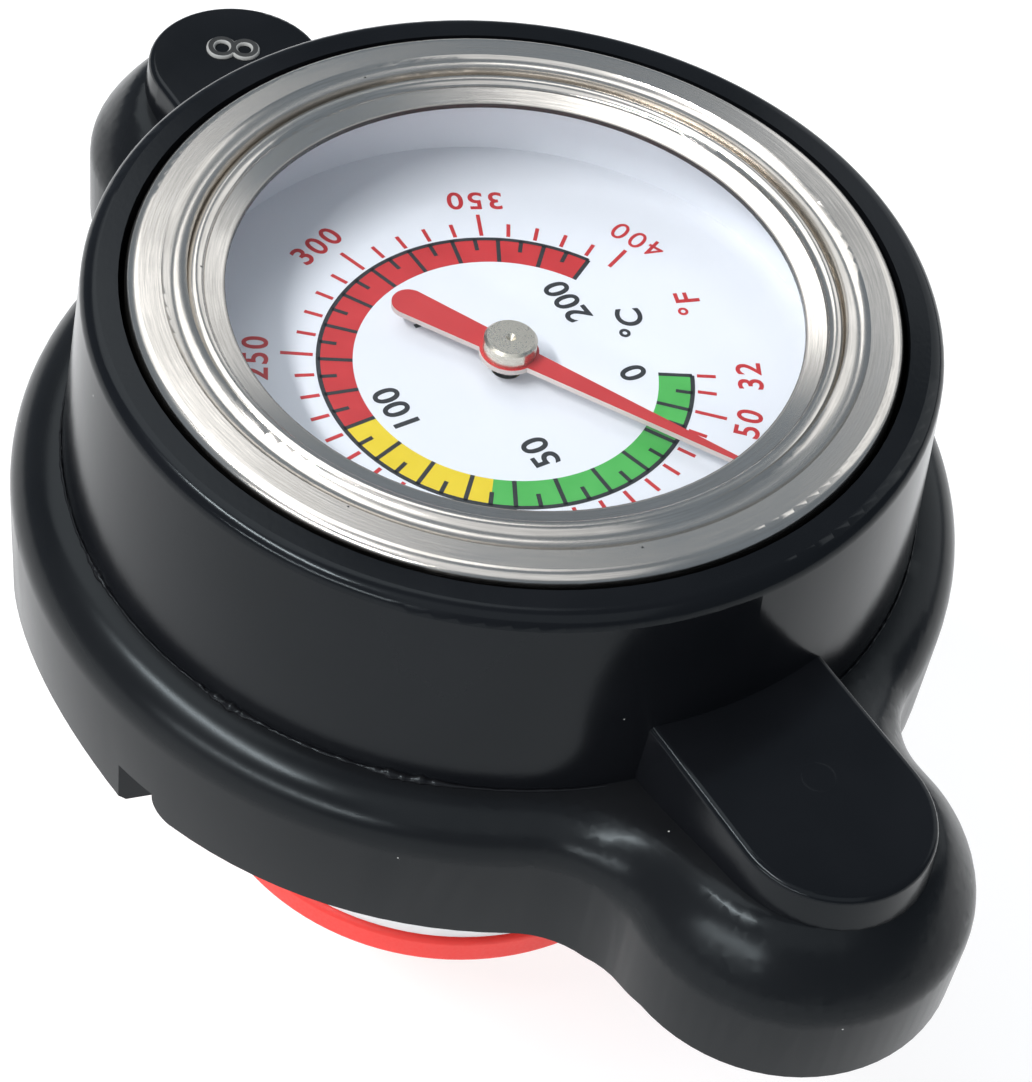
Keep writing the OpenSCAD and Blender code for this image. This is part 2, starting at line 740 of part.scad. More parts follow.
module pressure_spring() {
    color(steel) translate([0, 0, plate_high + main_wire_r + seat_gap])
        wound(main_r, main_heights, wire_section(main_wire_r));
}

// The plate's rim is turned up round the spring's foot
module pressure_plate() {
    color("gainsboro") rotate_extrude() {
        band(eyelet_r + press_gap, plate_r, seal_high, plate_high);
        band(plate_r - plate_t, plate_r, seal_high, plate_high + plate_rim_h);
    }
}

module pressure_seal() {
    color(red) rotate_extrude() difference() {
        band(eyelet_r + press_gap, seal_r, seal_low, seal_high);
        translate([seal_r - seal_edge_r, seal_high - seal_edge_r]) corner_waste(seal_edge_r);
        translate([seal_r - seal_edge_r, seal_low + seal_edge_r]) mirror([0, 1]) corner_waste(seal_edge_r);
    }
}

// The centre tube: a foot under the seal, a tube through it and a head that hangs on the cage's lip
module valve_eyelet() {
    color(brass) rotate_extrude() {
        band(eyelet_port_r, eyelet_foot_r, eyelet_low, seal_low);
        band(eyelet_bore_r, eyelet_r, eyelet_low, eyelet_high);
        band(eyelet_bore_r, eyelet_head_r, eyelet_head_z, eyelet_high);
    }
}

// The vacuum valve: a sleeve on the probe with a foot below and a rolled lip above the washer
module vacuum_poppet() {
    color(brass) rotate_extrude() {
        band(sleeve_bore_r, poppet_foot_r, poppet_low, vacuum_seal_low);
        band(sleeve_bore_r, sleeve_r, poppet_low, washer_high + poppet_lip);
        band(sleeve_bore_r, sleeve_r + poppet_lip, washer_high, washer_high + poppet_lip);
    }
}

module vacuum_seal() {
    color(rubber) ring(sleeve_r + press_gap, poppet_foot_r - press_gap, vacuum_seal_low, vacuum_seal_high);
}

module vacuum_washer() {
    color(steel) ring(sleeve_r + press_gap, vacuum_washer_r, washer_low, washer_high);
}

module vacuum_spring() {
    color(steel) translate([0, 0, seal_low + vacuum_wire_r + seat_gap])
        wound(vacuum_r, vacuum_heights, wire_section(vacuum_wire_r));
}

cap_shell();
gauge_housing();
gauge_case();
bezel();
crystal();
crystal_gasket();
dial_ring();
dial_seat();
dial_plate();
pointer();
pointer_hub();
pointer_shaft();
upper_bush();
lower_bush();
bimetal_coil();
stem_tube();
stem_plug();
stem_gland();
stem_o_ring();
clamp_washer();
clamp_nut();
spring_disc();
neck_gasket();
spring_cage();
pressure_spring();
pressure_plate();
pressure_seal();
valve_eyelet();
vacuum_poppet();
vacuum_seal();
vacuum_washer();
vacuum_spring();
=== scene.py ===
import math
import bmesh
import bpy
from mathutils import Matrix, Vector, noise


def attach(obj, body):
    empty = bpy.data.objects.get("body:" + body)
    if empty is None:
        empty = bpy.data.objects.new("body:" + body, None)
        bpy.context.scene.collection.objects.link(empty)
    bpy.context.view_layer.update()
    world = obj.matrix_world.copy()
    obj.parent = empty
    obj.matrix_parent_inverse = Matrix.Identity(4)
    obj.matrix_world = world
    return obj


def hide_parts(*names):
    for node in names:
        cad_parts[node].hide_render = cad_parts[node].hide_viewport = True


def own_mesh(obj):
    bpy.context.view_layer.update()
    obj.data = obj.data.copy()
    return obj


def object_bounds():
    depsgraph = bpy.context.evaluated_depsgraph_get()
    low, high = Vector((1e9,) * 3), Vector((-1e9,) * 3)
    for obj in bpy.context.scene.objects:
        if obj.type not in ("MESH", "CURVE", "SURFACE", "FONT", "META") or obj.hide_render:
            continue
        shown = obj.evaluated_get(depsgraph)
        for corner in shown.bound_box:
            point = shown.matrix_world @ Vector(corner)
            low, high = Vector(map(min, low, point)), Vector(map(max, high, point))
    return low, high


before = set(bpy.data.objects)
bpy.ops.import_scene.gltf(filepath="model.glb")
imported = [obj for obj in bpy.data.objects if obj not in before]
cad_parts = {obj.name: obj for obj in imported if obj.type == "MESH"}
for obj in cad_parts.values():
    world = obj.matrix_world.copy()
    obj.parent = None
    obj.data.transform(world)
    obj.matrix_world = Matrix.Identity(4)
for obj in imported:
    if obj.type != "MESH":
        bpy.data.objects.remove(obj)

cad_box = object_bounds()
mm = 0.001


# Cap shell: one pressing of steel sheet with a rounded shoulder, a skirt, two bayonet lugs bent inwards and
# two hollow ears, whose tops rise into low domes under the thumb pads.
# Its satin black coat is a little uneven and holds dust.

def add(tree, kind, inputs=(), **settings):
    """Adds a node and feeds its inputs with values or with other nodes' outputs."""
    made = tree.nodes.new("ShaderNode" + kind)
    for key, value in settings.items():
        setattr(made, key, value)
    for key, value in dict(inputs).items():
        if isinstance(value, bpy.types.NodeSocket):
            tree.links.new(value, made.inputs[key])
        else:
            made.inputs[key].default_value = value
    return made


def reckon(tree, operation, *values):
    """One step of arithmetic on patterns and numbers."""
    return add(tree, "Math", enumerate(values), operation=operation).outputs[0]


def new_finish(name, colour, sockets=()):
    """A material with its shader, set to one colour, and the place of each point on the piece."""
    made = bpy.data.materials.new(name)
    made.use_nodes = True
    tree = made.node_tree
    shader = tree.nodes["Principled BSDF"]
    shader.inputs["Base Color"].default_value = (*colour, 1)
    for key, value in dict(sockets).items():
        shader.inputs[key].default_value = value
    place = add(tree, "TexCoord").outputs["Object"]
    return made, tree, shader, place


def blotches(tree, place, size, detail=4.0):
    """A soft uneven pattern with patches of about this size."""
    return add(tree, "TexNoise", {"Vector": place, "Scale": 1 / size, "Detail": detail}).outputs[0]


def spread(tree, value, low, high, source=(0.3, 0.7)):
    """A pattern's usual values stretched between two limits."""
    limits = {"From Min": source[0], "From Max": source[1], "To Min": low, "To Max": high}
    return add(tree, "MapRange", {"Value": value, **limits}).outputs[0]


def tint(tree, share, first, second):
    """A colour between two plain or patterned ones, by a pattern's share."""
    first, second = (c if isinstance(c, bpy.types.NodeSocket) else (*c, 1) for c in (first, second))
    return add(tree, "Mix", {0: share, 6: first, 7: second}, data_type="RGBA").outputs[2]


def roughen(tree, shader, height, depth):
    """Gives the surface a pattern's relief."""
    bump = add(tree, "Bump", {"Height": height, "Distance": depth, "Strength": 1.0})
    tree.links.new(bump.outputs[0], shader.inputs["Normal"])


def specks(tree, place, spacing, radius, share):
    """Scattered dots: one in each cell of the pattern, in a share of the cells."""
    cells = add(tree, "TexVoronoi", {"Vector": place, "Scale": 1 / spacing})
    near = reckon(tree, "LESS_THAN", cells.outputs["Distance"], radius / spacing)
    chosen = add(tree, "SeparateColor", {0: cells.outputs["Color"]}).outputs[0]
    return reckon(tree, "MULTIPLY", near, reckon(tree, "LESS_THAN", chosen, share))


def black_finish(name, dark, light, rough, grain, depth):
    """A black satin surface with patches, fine grain and pale dust."""
    gloss = {"IOR": 1.25, "Specular Tint": (0.84, 0.95, 1, 1)}
    patch, dust_gap, dust_r, dust_share = 9 * mm, 2.2 * mm, 0.045 * mm, 0.35
    dust_grey = (0.42, 0.42, 0.4)
    made, tree, shader, place = new_finish(name, dark, gloss)
    patches = blotches(tree, place, patch)
    dust = specks(tree, place, dust_gap, dust_r, dust_share)
    body = tint(tree, spread(tree, patches, 0, 1), dark, light)
    tree.links.new(tint(tree, dust, body, dust_grey), shader.inputs["Base Color"])
    tree.links.new(spread(tree, patches, *rough), shader.inputs["Roughness"])
    roughen(tree, shader, blotches(tree, place, grain, detail=2.0), depth)
    return made


def piece(name, bm, made, body="cap"):
    """Makes a bmesh a piece in place that moves with a body."""
    mesh = bpy.data.meshes.new(name)
    bm.to_mesh(mesh)
    bm.free()
    mesh.materials.append(made)
    obj = bpy.data.objects.new(name, mesh)
    bpy.context.scene.collection.objects.link(obj)
    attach(obj, body)
    return obj


def ease(share):
    """A share between 0 and 1 that starts and ends gently."""
    share = min(1.0, max(0.0, share))
    return share * share * (3 - 2 * share)


black_coat = black_finish(
    "black_coat", dark=(0.005, 0.0055, 0.0065), light=(0.008, 0.0085, 0.0095),
    rough=(0.19, 0.27), grain=0.8 * mm, depth=0.002 * mm)
cap_top, ear_low = 4.1 * mm, -3.24 * mm
ear_x, ear_r, dome_r = 27.2 * mm, 8.7 * mm, 5.5 * mm
rise_start, rise_end, ear_rise = 19 * mm, 32 * mm, 1.7 * mm
cut_step, weld, sliver = 0.75 * mm, 0.004 * mm, 0.001 * mm
sharp_fold = math.radians(30)
shell_bm = bmesh.new()
shell_bm.from_mesh(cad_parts["cap_shell"].data)
bmesh.ops.remove_doubles(shell_bm, verts=shell_bm.verts, dist=sliver)
first, last, half = (round(reach / cut_step) for reach in (rise_start, ear_x + ear_r, ear_r))
cuts = [((side * k * cut_step, 0, 0), (1, 0, 0)) for side in (-1, 1) for k in range(first, last)]
cuts += [((0, k * cut_step, 0), (0, 1, 0)) for k in range(-half, half + 1)]
for point, across in cuts:
    everything = [*shell_bm.verts, *shell_bm.edges, *shell_bm.faces]
    bmesh.ops.bisect_plane(shell_bm, geom=everything, dist=weld, plane_co=point, plane_no=across)
bmesh.ops.remove_doubles(shell_bm, verts=shell_bm.verts, dist=weld)
bmesh.ops.dissolve_degenerate(shell_bm, edges=shell_bm.edges, dist=sliver)
bmesh.ops.triangulate(shell_bm, faces=shell_bm.faces)
for v in shell_bm.verts:
    out = ease((abs(v.co.x) - rise_start) / (rise_end - rise_start))
    from_middle = math.hypot(max(0.0, abs(v.co.x) - ear_x), v.co.y)
    inside = ease((ear_r - from_middle) / (ear_r - dome_r))
    high = min(1.0, max(0.0, (v.co.z - ear_low) / (cap_top - ear_low)))
    v.co.z += ear_rise * out * inside * high
for face in shell_bm.faces:
    face.smooth = True
for edge in shell_bm.edges:
    edge.smooth = edge.calc_face_angle(0) < sharp_fold
shell = piece("risen_shell", shell_bm, black_coat)
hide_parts("cap_shell")


# Gauge housing: a black moulded cup on top of the cap, with a drafted wall and two thumb pads over the ears.
# The moulding is smoother than the cap's coat. One pad carries a raised figure of worn black, whose steep
# sides are painted pale grey: a painted highlight for the light its edges catch. The other pad carries the
# faint round mark of the mould's ejector.

def dress(node, made):
    """Puts a finish on a CAD node."""
    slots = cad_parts[node].data.materials
    slots.clear()
    slots.append(made)


def overlay(made, share, colour):
    """Lays another colour over a finish's own by a pattern's share."""
    shader = made.node_tree.nodes["Principled BSDF"]
    own = shader.inputs["Base Color"].links[0].from_socket
    made.node_tree.links.new(tint(made.node_tree, share, own, colour), shader.inputs["Base Color"])


def steep_places(tree, limit):
    """Where the surface faces up less than a limit, as at an edge."""
    facing_up = add(tree, "SeparateXYZ", {0: add(tree, "TexCoord").outputs["Normal"]}).outputs[2]
    return reckon(tree, "LESS_THAN", facing_up, limit)


def lettered(entries, size, weight, spacing, depth, slope=0.0):
    """One bmesh of figures, each with its place and reading direction; the figures stand up by the depth.
    A figure 4 keeps its thin strokes, because its small counter would close."""
    bm = bmesh.new()
    for words, where, reading in entries:
        font = bpy.data.curves.new("figure", "FONT")
        font.body, font.size, font.space_character = words, size, spacing
        font.offset = 0.0 if "4" in words else weight
        font.align_x, font.align_y, font.extrude = "CENTER", "CENTER", depth / 2
        font.bevel_depth, font.bevel_resolution = slope, 0
        obj = bpy.data.objects.new("figure", font)
        bpy.context.scene.collection.objects.link(obj)
        mesh = bpy.data.meshes.new_from_object(obj)
        bpy.data.objects.remove(obj)
        mesh.transform(Matrix.Translation(where) @ Matrix.Rotation(math.radians(reading), 4, "Z"))
        bm.from_mesh(mesh)
    bmesh.ops.remove_doubles(bm, verts=bm.verts, dist=weld)
    bmesh.ops.dissolve_degenerate(bm, edges=bm.edges, dist=sliver)
    return bm


def section_of(bm, outline):
    """A closed outline of (radius, height) points beside the axis."""
    points = [bm.verts.new((r, 0, z)) for r, z in outline]
    edges = [bm.edges.new((points[i - 1], points[i])) for i in range(len(points))]
    return [*points, *edges]


def turned(outline, steps):
    """A closed outline spun once round the axis."""
    bm = bmesh.new()
    section = section_of(bm, outline)
    bmesh.ops.spin(bm, geom=section, axis=(0, 0, 1), angle=math.tau, steps=steps, use_merge=True)
    bmesh.ops.recalc_face_normals(bm, faces=bm.faces)
    return bm


black_moulding = black_finish(
    "black_moulding", dark=(0.004, 0.0045, 0.0055), light=(0.006, 0.0065, 0.008),
    rough=(0.13, 0.21), grain=0.3 * mm, depth=0.002 * mm)
dress("gauge_housing", black_moulding)
worn_black_painted_edge_highlight = black_finish(
    "worn_black_painted_edge_highlight", dark=(0.02, 0.02, 0.02), light=(0.05, 0.05, 0.05),
    rough=(0.35, 0.5), grain=0.2 * mm, depth=0.004 * mm)
# The figure's steep sides are painted pale grey: a painted highlight where its edges catch the light.
painted_edge_highlight_grey, level_top = (0.3, 0.3, 0.29), 0.95
overlay(worn_black_painted_edge_highlight, steep_places(worn_black_painted_edge_highlight.node_tree, level_top), painted_edge_highlight_grey)

pad_top = 7.6 * mm
figure_size, figure_h, figure_slope, figure_turn = 4.1 * mm, 0.16 * mm, 0.1 * mm, -30
figure = [("8", Vector((-29.45 * mm, 0.12 * mm, pad_top)), figure_turn)]
figure_bm = lettered(
    figure, figure_size, weight=-figure_slope / 2, spacing=1.0, depth=figure_h, slope=figure_slope)
piece("pad_figure", figure_bm, worn_black_painted_edge_highlight)

mark_r, mark_w, mark_h, mark_steps = 0.74 * mm, 0.1 * mm, 0.004 * mm, 48
mark_x, mark_y = 26.65 * mm, 0.5 * mm
ridge = [(mark_r, pad_top), (mark_r + mark_w, pad_top), (mark_r + mark_w / 2, pad_top + mark_h)]
mark_bm = turned(ridge, mark_steps)
bmesh.ops.translate(mark_bm, verts=mark_bm.verts, vec=(mark_x, mark_y, 0))
piece("ejector_mark", mark_bm, black_moulding)


# Sealant: a thin line of glossy black sealant under the cup's edge. It was squeezed out when the cup was
# pressed on the cap, so it is thicker in some places than in others.

foot_r, line_r, line_sides, line_steps, line_seed = 21.78 * mm, 0.16 * mm, 8, 1080, 1
thick_places = [(-65, 7), (-43, 5), (-91, 4)]
least, uneven, swollen, middle_wave = 0.3, 0.2, 1.1, 0.6
long_wave, short_wave, wander_wave, wander_size = 2 * mm, 0.5 * mm, 0.35 * mm, 0.08 * mm
corners = [math.tau * k / line_sides for k in range(line_sides)]
round_line = [(foot_r + line_r * math.cos(a), cap_top + line_r * math.sin(a)) for a in corners]
bead_bm = turned(round_line, line_steps)
# Without a fixed seed, noise_vector would wander differently in each run.
noise.seed_set(line_seed)
for v in bead_bm.verts:
    spot = Vector((foot_r * v.co.x / v.co.xy.length, foot_r * v.co.y / v.co.xy.length, 0))
    turn = math.degrees(math.atan2(spot.y, spot.x))
    swell = max(math.exp(-((turn - middle) / reach) ** 2) for middle, reach in thick_places)
    waves = middle_wave + noise.noise(spot / long_wave) + noise.noise(spot / short_wave)
    size = least + (uneven + swollen * swell) * max(0.0, waves)
    wander = (least + swell) * wander_size * noise.noise_vector(spot / wander_wave)
    axis_point = Vector((spot.x, spot.y, cap_top))
    v.co = axis_point + (v.co - axis_point) * size + wander
sealant = black_finish(
    "sealant", dark=(0.004, 0.004, 0.005), light=(0.008, 0.008, 0.009),
    rough=(0.12, 0.3), grain=0.4 * mm, depth=0.02 * mm)
bead = piece("sealant_line", bead_bm, sealant)
for face in bead.data.polygons:
    face.use_smooth = True


# Bezel: a ring of stainless sheet spun over the case and the glass, with a hollow ring and a bead in its
# face. Turning leaves fine lines round it. It is polished unevenly, and grime sits in its pits. A thin band
# by the glass is painted near black: painted shade in the crease where the bezel meets the glass.

def axis_distance(tree, place):
    """Each point's distance from the axis."""
    flat = add(tree, "VectorMath", {0: place, 1: (1, 1, 0)}, operation="MULTIPLY").outputs[0]
    return add(tree, "VectorMath", {0: flat}, operation="LENGTH").outputs["Value"]


def round_place(tree, place, stretch):
    """Coordinates that run round the axis, so that a pattern on them is drawn out into rings."""
    axes = add(tree, "SeparateXYZ", {0: place}).outputs
    turn = reckon(tree, "ARCTAN2", axes[1], axes[0])
    drawn = reckon(tree, "MULTIPLY", turn, stretch)
    return add(tree, "CombineXYZ", {0: axis_distance(tree, place), 1: drawn, 2: axes[2]}).outputs[0]


def turned_metal(name, dark, light, rough, line, stretch, depth):
    """Bare metal with fine lines round the axis and faint stains."""
    stain, usual_sum = 6 * mm, (0.7, 1.3)
    made, tree, shader, place = new_finish(name, light, {"Metallic": 1.0})
    rings = blotches(tree, round_place(tree, place, stretch), line, detail=3.0)
    both = reckon(tree, "ADD", rings, blotches(tree, place, stain))
    colour = tint(tree, spread(tree, both, 0, 1, usual_sum), dark, light)
    tree.links.new(colour, shader.inputs["Base Color"])
    tree.links.new(spread(tree, both, rough[1], rough[0], usual_sum), shader.inputs["Roughness"])
    roughen(tree, shader, rings, depth)
    return made


bezel_steel = turned_metal(
    "bezel_steel", dark=(0.52, 0.49, 0.45), light=(0.70, 0.66, 0.61),
    rough=(0.17, 0.27), line=0.09 * mm, stretch=0.6 * mm, depth=0.002 * mm)
tree = bezel_steel.node_tree
place = add(tree, "TexCoord").outputs["Object"]
window_r, glass_shade_w, pit_grime_and_shade_black = 14.0 * mm, 0.12 * mm, (0.03, 0.03, 0.03)
pit_gap, pit_r, pit_share = 1.5 * mm, 0.06 * mm, 0.2
# The band from the glass's edge outwards is painted shade in the crease; the specks are grime in pits.
corner = spread(tree, axis_distance(tree, place), 1, 0, (window_r, window_r + glass_shade_w))
pit_grime_and_painted_shade = reckon(tree, "MAXIMUM", corner, specks(tree, place, pit_gap, pit_r, pit_share))
overlay(bezel_steel, pit_grime_and_painted_shade, pit_grime_and_shade_black)
tree.links.new(reckon(tree, "SUBTRACT", 1.0, pit_grime_and_painted_shade), tree.nodes["Principled BSDF"].inputs["Metallic"])
dress("bezel", bezel_steel)


# Glass: a flat disc of clear glass, a little smeared. It is held between the bezel and a rubber ring,
# and mirrors more at a low angle.

crystal_glass = bpy.data.materials.new("crystal_glass")
crystal_glass.use_nodes = True
tree = crystal_glass.node_tree
smear, smear_rough, least_mirror, mirror_power = 7 * mm, 0.06, 0.04, 5.0
clear = add(tree, "BsdfTransparent", {"Color": (0.985, 0.99, 0.995, 1)}).outputs[0]
smears = blotches(tree, add(tree, "TexCoord").outputs["Object"], smear)
gloss = add(tree, "BsdfGlossy", {"Roughness": spread(tree, smears, 0.0, smear_rough)}).outputs[0]
facing = add(tree, "LayerWeight", {"Blend": 0.5}).outputs["Facing"]
mirrored = spread(tree, reckon(tree, "POWER", facing, mirror_power), least_mirror, 1, (0, 1))
both = add(tree, "MixShader", {0: mirrored, 1: clear, 2: gloss}).outputs[0]
tree.links.new(both, tree.nodes["Material Output"].inputs["Surface"])
tree.nodes.remove(tree.nodes["Principled BSDF"])
dress("crystal", crystal_glass)


# Gauge case: a pressed steel cup that holds the gauge, with a steel ring in it that the dial lies on.
# The rubber ring under the glass is moulded and lies in the cup's edge. They are seen only in section.

def plain_finish(name, dark, light, rough, patch, grain, depth):
    """A dull surface with patches of two colours and a fine grain."""
    made, tree, shader, place = new_finish(name, dark)
    patches = spread(tree, blotches(tree, place, patch), 0, 1)
    tree.links.new(tint(tree, patches, dark, light), shader.inputs["Base Color"])
    fine = blotches(tree, place, grain, detail=2.0)
    tree.links.new(spread(tree, fine, *rough), shader.inputs["Roughness"])
    roughen(tree, shader, fine, depth)
    return made


case_steel = turned_metal(
    "case_steel", dark=(0.45, 0.45, 0.44), light=(0.62, 0.62, 0.6),
    rough=(0.25, 0.4), line=0.2 * mm, stretch=1 * mm, depth=0.002 * mm)
dress("gauge_case", case_steel)
dress("dial_seat", case_steel)
black_rubber = plain_finish(
    "black_rubber", dark=(0.018, 0.018, 0.018), light=(0.03, 0.03, 0.03),
    rough=(0.6, 0.8), patch=5 * mm, grain=0.15 * mm, depth=0.01 * mm)
dress("crystal_gasket", black_rubber)


# Dial: a white painted plate with a white ring round it. Its scale, a coloured band with black lines, is
# printed in degrees Celsius, and round it are red lines for degrees Fahrenheit.

dial_white = plain_finish(
    "dial_white", dark=(0.80, 0.82, 0.86), light=(0.84, 0.86, 0.90),
    rough=(0.35, 0.5), patch=12 * mm, grain=0.2 * mm, depth=0.002 * mm)
dress("dial_plate", dial_white)
dress("dial_ring", dial_white)
dial_z = 9.5 * mm
zero_angle, per_degree = 61.4, -1.5


def celsius(degrees):
    """The direction of a degree Celsius on the scale."""
    return zero_angle + per_degree * degrees


def fahrenheit(degrees):
    """The direction of a degree Fahrenheit on the scale."""
    return celsius((degrees - 32) / 1.8)


def ink(name, colour, weak):
    """A thin even print."""
    return plain_finish(
        name, colour, weak, rough=(0.35, 0.5), patch=1.5 * mm, grain=0.1 * mm, depth=0.001 * mm)


def printed_arc(bm, inner, outer, start, end, height):
    """A flat strip round the axis, raised by the thickness of its print, with a step every 2 degrees."""
    turn = Matrix.Rotation(math.radians(start), 3, "Z")
    ends = [bm.verts.new(turn @ Vector((r, 0, dial_z))) for r in (inner, outer)]
    edge = bm.edges.new(ends)
    angle = math.radians(end - start)
    steps = max(1, round(abs(end - start) / 2))
    before = set(bm.faces)
    bmesh.ops.spin(bm, geom=[*ends, edge], axis=(0, 0, 1), angle=angle, steps=steps)
    faces = [f for f in bm.faces if f not in before]
    raised = bmesh.ops.extrude_face_region(bm, geom=faces)["geom"]
    tops = [v for v in raised if isinstance(v, bmesh.types.BMVert)]
    bmesh.ops.translate(bm, verts=tops, vec=(0, 0, height))
    bmesh.ops.recalc_face_normals(bm, faces=bm.faces)


def printed_line(bm, inner, outer, angle, width, height):
    """A straight radial line of print."""
    size = Matrix.Diagonal((outer - inner, width, height, 1))
    middle = Matrix.Translation(((inner + outer) / 2, 0, dial_z + height / 2))
    turn = Matrix.Rotation(math.radians(angle), 4, "Z")
    bmesh.ops.create_cube(bm, size=1, matrix=turn @ middle @ size)


green_ink = ink("green_ink", (0.06, 0.42, 0.07), (0.08, 0.47, 0.09))
yellow_ink = ink("yellow_ink", (0.78, 0.58, 0.01), (0.85, 0.64, 0.02))
red_ink = ink("red_ink", (0.52, 0.018, 0.02), (0.6, 0.028, 0.03))
black_ink = ink("black_ink", (0.012, 0.014, 0.016), (0.022, 0.024, 0.026))
band_in, band_out, band_h = 7.6 * mm, 9.3 * mm, 0.012 * mm
scale_end, green_end, yellow_end = 200, 65, 100
bands = [
    ("band_green", 0, green_end, green_ink),
    ("band_yellow", green_end, yellow_end, yellow_ink),
    ("band_red", yellow_end, scale_end, red_ink),
]
for name, low, high, colour in bands:
    bm = bmesh.new()
    printed_arc(bm, band_in, band_out, celsius(low), celsius(high), band_h)
    piece(name, bm, colour)

line_w, line_h = 0.22 * mm, 0.02 * mm
bm = bmesh.new()
printed_arc(bm, band_out - line_w / 2, band_out + line_w / 2, celsius(0), celsius(scale_end), line_h)
for degrees in range(0, scale_end + 1, 5):
    inner = band_in if degrees % 10 == 0 else (band_in + band_out) / 2
    printed_line(bm, inner, band_out, celsius(degrees), line_w, line_h)
piece("scale_lines", bm, black_ink)

red_in, red_short, red_long, red_w = 9.55 * mm, 10.5 * mm, 11.15 * mm, 0.2 * mm
bm = bmesh.new()
for degrees in [32, *range(40, 401, 10)]:
    outer = red_long if degrees % 50 == 0 else red_short
    printed_line(bm, red_in, outer, fahrenheit(degrees), red_w, line_h)
piece("fahrenheit_lines", bm, red_ink)


def on_dial(radius, angle):
    """A point of the print by its distance from the axis and its direction."""
    turn = math.radians(angle)
    return Vector((radius * math.cos(turn), radius * math.sin(turn), dial_z))


figures_h = 2 * line_h
black_size, black_weight, black_spacing = 1.9 * mm, 0.035 * mm, 1.05
black_figures = [
    ("0", on_dial(6.4 * mm, 61.9), 180),
    ("50", on_dial(5.8 * mm, -14.5), 180),
    ("100", on_dial(6.3 * mm, -88.5), 180),
    ("150", on_dial(5.74 * mm, -160.3), 180),
    ("200", on_dial(6.0 * mm, 117), 180),
    ("°C", on_dial(7.5 * mm, 90), 160),
]
black_bm = lettered(black_figures, black_size, black_weight, black_spacing, figures_h)
piece("celsius_figures", black_bm, black_ink)

red_size, red_weight, red_spacing, red_r = 1.8 * mm, 0.025 * mm, 1.18, 12.3 * mm
moved_figures = {32: 62, 250: -118, 300: -159.5, 400: 114.5}
red_figures = [("°F", on_dial(11.0 * mm, 89.5), 162)]
for degrees in (32, *range(50, 401, 50)):
    angle = moved_figures.get(degrees, fahrenheit(degrees))
    upper = math.sin(math.radians(angle)) > 0
    red_figures.append((str(degrees), on_dial(red_r, angle), angle + 90 if upper else angle - 90))
red_bm = lettered(red_figures, red_size, red_weight, red_spacing, figures_h)
piece("fahrenheit_figures", red_bm, red_ink)


# Pointer: a blade cut from thin sheet and painted red, with bare edges. It sits under a turned nickel hub
# on the steel shaft.

pointer_red = plain_finish(
    "pointer_red", dark=(0.5, 0.022, 0.024), light=(0.57, 0.034, 0.034),
    rough=(0.4, 0.55), patch=3 * mm, grain=0.1 * mm, depth=0.002 * mm)
bare_edge, edge_limit = (0.72, 0.62, 0.58), 0.5
overlay(pointer_red, steep_places(pointer_red.node_tree, edge_limit), bare_edge)
dress("pointer", pointer_red)
hub_nickel = turned_metal(
    "hub_nickel", dark=(0.6, 0.55, 0.46), light=(0.82, 0.77, 0.66),
    rough=(0.22, 0.38), line=0.06 * mm, stretch=0.3 * mm, depth=0.002 * mm)
dress("pointer_hub", hub_nickel)
dress("pointer_shaft", case_steel)


# Probe: a drawn steel tube through the cap's middle, closed by a plug. The bimetal helix in it is a wound
# strip that turns the shaft, and the shaft runs in two brass bushes.

probe_steel = turned_metal(
    "probe_steel", dark=(0.52, 0.52, 0.51), light=(0.68, 0.68, 0.67),
    rough=(0.2, 0.34), line=0.1 * mm, stretch=0.5 * mm, depth=0.001 * mm)
brass = turned_metal(
    "brass", dark=(0.52, 0.36, 0.13), light=(0.72, 0.54, 0.24),
    rough=(0.22, 0.36), line=0.1 * mm, stretch=0.5 * mm, depth=0.002 * mm)
for node in ("stem_tube", "stem_plug"):
    dress(node, probe_steel)
for node in ("upper_bush", "lower_bush"):
    dress(node, brass)


def wound(name, outline, spans, made, body, steps):
    """A wound piece: an outline carried round the axis through spans of (turns, rise), with closed ends."""
    bm = bmesh.new()
    section = section_of(bm, outline)
    for turns, rise in spans:
        count = round(turns * steps)
        climb = (0, 0, rise / count)
        angle = math.tau * turns
        carried = bmesh.ops.spin(bm, geom=section, axis=(0, 0, 1), dvec=climb, angle=angle, steps=count)
        section = carried["geom_last"]
    bmesh.ops.holes_fill(bm, edges=[e for e in bm.edges if e.is_boundary])
    bmesh.ops.recalc_face_normals(bm, faces=bm.faces)
    obj = piece(name, bm, made, body)
    for face in obj.data.polygons:
        face.use_smooth = len(face.vertices) == 4
    return obj


strip_r, strip_t, strip_w, strip_low = 1.775 * mm, 0.25 * mm, 0.9 * mm, -30.8 * mm
strip_turns, strip_pitch, strip_steps = 9, 1.7 * mm, 48
strip_corners = ((-1, -1), (1, -1), (1, 1), (-1, 1))
strip = [(strip_r + x * strip_t / 2, strip_low + z * strip_w / 2) for x, z in strip_corners]
helix = wound("bimetal_strip", strip, [(strip_turns, strip_turns * strip_pitch)], brass, "cap", strip_steps)
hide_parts("bimetal_coil")


# Gland, nut, washer and sealing ring: a hollow brass bush and a brass nut, a steel washer and a rubber ring.
# Screwed together, they clamp the gauge, the cap, the disc and the cage.

valve_steel = turned_metal(
    "valve_steel", dark=(0.48, 0.48, 0.47), light=(0.64, 0.64, 0.63),
    rough=(0.24, 0.38), line=0.12 * mm, stretch=0.6 * mm, depth=0.002 * mm)
for node in ("stem_gland", "clamp_nut"):
    dress(node, brass)
dress("stem_o_ring", black_rubber)
dress("clamp_washer", valve_steel)


# Neck seal: a dished disc of spring steel under the cap's top, with a flat rubber gasket.
# The disc presses the gasket on the filler neck, and the gland's nut holds it.

dress("spring_disc", valve_steel)
dress("neck_gasket", black_rubber)


